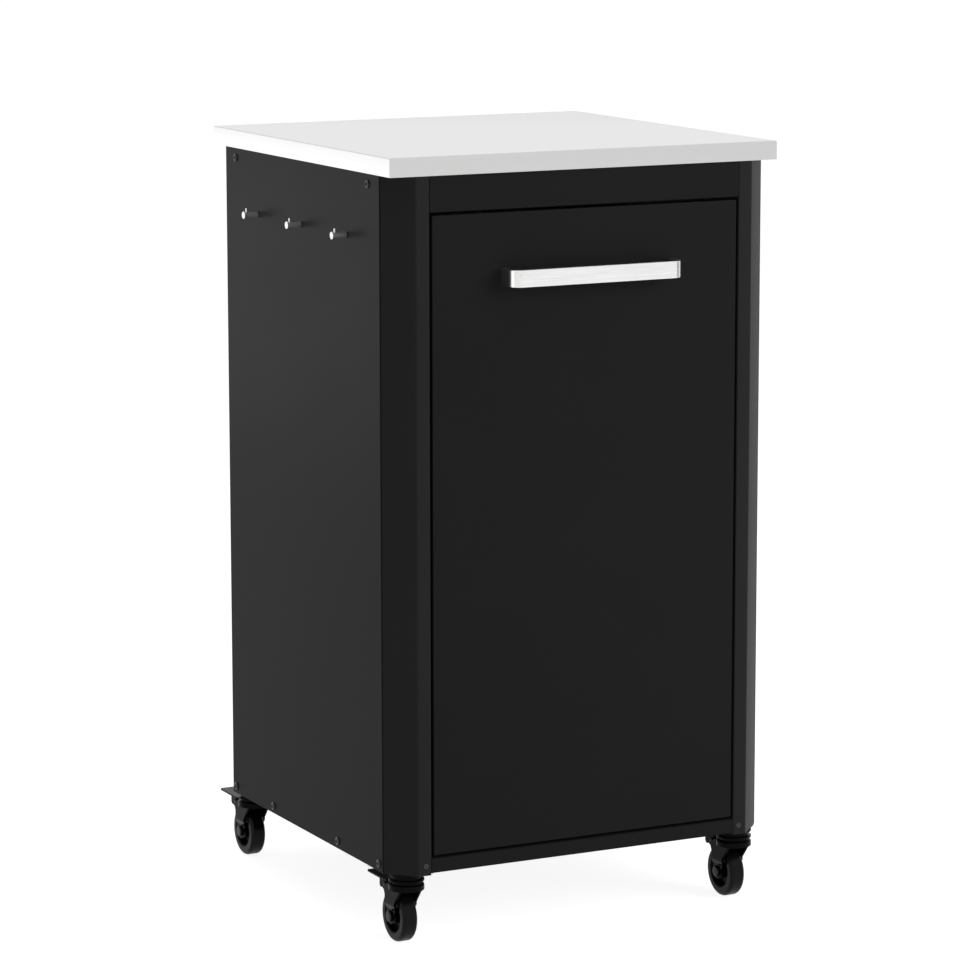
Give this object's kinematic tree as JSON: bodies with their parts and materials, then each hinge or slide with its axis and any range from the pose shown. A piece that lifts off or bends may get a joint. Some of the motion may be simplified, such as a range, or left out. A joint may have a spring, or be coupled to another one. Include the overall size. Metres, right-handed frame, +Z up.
{
  "type": "outdoor kitchen unit",
  "caption": "Square black steel outdoor kitchen cabinet on braked swivel castors, with a stainless worktop, a tall pull-out front with a bow handle and utensil hooks on its left side.",
  "frame": {"origin": "on the floor below the middle of the whole outline, which hooks, handle and pedals set a little off the body's middle", "axes": "+Z up, +X to the right as seen from the front, +Y from the front to the back"},
  "size_m": [0.5172, 0.5746, 0.915],
  "materials": {
    "black_powder_coat": "satin powder coat",
    "brushed_stainless": "fine brushed",
    "polished_steel": "polished",
    "zinc_plated_steel": "zinc plated",
    "black_screw_steel": "black oxide",
    "castor_black_steel": "gloss black",
    "wheel_black_plastic": "moulded",
    "tyre_rubber": "matt"
  },
  "bodies": {
    "cabinet": {"worktop": "brushed_stainless", "worktop_stiffeners": "zinc_plated_steel", "worktop_brackets": "zinc_plated_steel", "back_panel": "black_powder_coat", "top_front_rail": "black_powder_coat", "bottom_front_rail": "black_powder_coat", "floor_panel": "black_powder_coat", "foot_plates": "zinc_plated_steel", "runner_supports": "zinc_plated_steel", "runner_outer_members": "zinc_plated_steel", "hook_pegs": "polished_steel", "hook_pins": "polished_steel", "hook_nuts": "zinc_plated_steel", "castor_stems": "castor_black_steel", "castor_stem_nuts": "zinc_plated_steel", "swivel_bearings": "castor_black_steel", "side_panel_left": "black_powder_coat", "side_panel_right": "black_powder_coat", "front_post_left": "black_powder_coat", "front_post_right": "black_powder_coat", "rear_post_left": "black_powder_coat", "rear_post_right": "black_powder_coat", "side_panel_screws": "black_screw_steel", "front_post_screws": "black_screw_steel", "worktop_screws": "zinc_plated_steel", "back_panel_screws": "black_screw_steel"},
    "pull_out": {"drawer_front": "black_powder_coat", "drawer_front_liner": "black_powder_coat", "handle": "brushed_stainless", "handle_screws": "zinc_plated_steel", "tray_base": "black_powder_coat", "tray_rear_wall": "black_powder_coat", "runner_inner_members": "zinc_plated_steel", "tray_side_left": "black_powder_coat", "tray_side_right": "black_powder_coat", "front_brace_left": "black_powder_coat", "front_brace_right": "black_powder_coat", "tray_screws": "zinc_plated_steel"},
    "runner_middles": {"runner_middle_members": "zinc_plated_steel"},
    "castor_front_left": {"castor_fork_front_left": "castor_black_steel", "castor_fixings_front_left": "black_screw_steel"},
    "wheel_front_left": {"wheel_core_front_left": "wheel_black_plastic", "tyre_front_left": "tyre_rubber"},
    "pedal_front_left": {"brake_pedal_front_left": "castor_black_steel"},
    "castor_front_right": {"castor_fork_front_right": "castor_black_steel", "castor_fixings_front_right": "black_screw_steel"},
    "wheel_front_right": {"wheel_core_front_right": "wheel_black_plastic", "tyre_front_right": "tyre_rubber"},
    "pedal_front_right": {"brake_pedal_front_right": "castor_black_steel"},
    "castor_rear_left": {"castor_fork_rear_left": "castor_black_steel", "castor_fixings_rear_left": "black_screw_steel"},
    "wheel_rear_left": {"wheel_core_rear_left": "wheel_black_plastic", "tyre_rear_left": "tyre_rubber"},
    "pedal_rear_left": {"brake_pedal_rear_left": "castor_black_steel"},
    "castor_rear_right": {"castor_fork_rear_right": "castor_black_steel", "castor_fixings_rear_right": "black_screw_steel"},
    "wheel_rear_right": {"wheel_core_rear_right": "wheel_black_plastic", "tyre_rear_right": "tyre_rubber"},
    "pedal_rear_right": {"brake_pedal_rear_right": "castor_black_steel"}
  },
  "joints": [
    {"name": "pull_out_slide", "type": "slide", "parent": "cabinet", "child": "pull_out", "axis": [0, -1, 0], "range_m": [0, 0.4]},
    {"name": "runner_extend", "type": "slide", "parent": "cabinet", "child": "runner_middles", "axis": [0, -1, 0], "range_m": [0, 0.2]},
    {"name": "swivel_front_left", "type": "hinge", "parent": "cabinet", "child": "castor_front_left", "pos_m": [-0.2105, -0.22575, 0.0735], "axis": [0, 0, 1], "continuous": true},
    {"name": "roll_front_left", "type": "hinge", "parent": "castor_front_left", "child": "wheel_front_left", "pos_m": [-0.2105, -0.20775, 0.0305], "axis": [1, 0, 0], "continuous": true},
    {"name": "brake_front_left", "type": "hinge", "parent": "castor_front_left", "child": "pedal_front_left", "pos_m": [-0.2105, -0.19525, 0.0654], "axis": [-1, 0, 0], "range_deg": [0, 28]},
    {"name": "swivel_front_right", "type": "hinge", "parent": "cabinet", "child": "castor_front_right", "pos_m": [0.2265, -0.22575, 0.0735], "axis": [0, 0, 1], "continuous": true},
    {"name": "roll_front_right", "type": "hinge", "parent": "castor_front_right", "child": "wheel_front_right", "pos_m": [0.2265, -0.20775, 0.0305], "axis": [1, 0, 0], "continuous": true},
    {"name": "brake_front_right", "type": "hinge", "parent": "castor_front_right", "child": "pedal_front_right", "pos_m": [0.2265, -0.19525, 0.0654], "axis": [-1, 0, 0], "range_deg": [0, 28]},
    {"name": "swivel_rear_left", "type": "hinge", "parent": "cabinet", "child": "castor_rear_left", "pos_m": [-0.2105, 0.21125, 0.0735], "axis": [0, 0, 1], "continuous": true},
    {"name": "roll_rear_left", "type": "hinge", "parent": "castor_rear_left", "child": "wheel_rear_left", "pos_m": [-0.2105, 0.22925, 0.0305], "axis": [1, 0, 0], "continuous": true},
    {"name": "brake_rear_left", "type": "hinge", "parent": "castor_rear_left", "child": "pedal_rear_left", "pos_m": [-0.2105, 0.24175, 0.0654], "axis": [-1, 0, 0], "range_deg": [0, 28]},
    {"name": "swivel_rear_right", "type": "hinge", "parent": "cabinet", "child": "castor_rear_right", "pos_m": [0.2265, 0.21125, 0.0735], "axis": [0, 0, 1], "continuous": true},
    {"name": "roll_rear_right", "type": "hinge", "parent": "castor_rear_right", "child": "wheel_rear_right", "pos_m": [0.2265, 0.22925, 0.0305], "axis": [1, 0, 0], "continuous": true},
    {"name": "brake_rear_right", "type": "hinge", "parent": "castor_rear_right", "child": "pedal_rear_right", "pos_m": [0.2265, 0.24175, 0.0654], "axis": [-1, 0, 0], "range_deg": [0, 28]}
  ],
  "couplings": [
    {"joint": "runner_extend", "follows": "pull_out_slide", "ratio": 0.5}
  ]
}
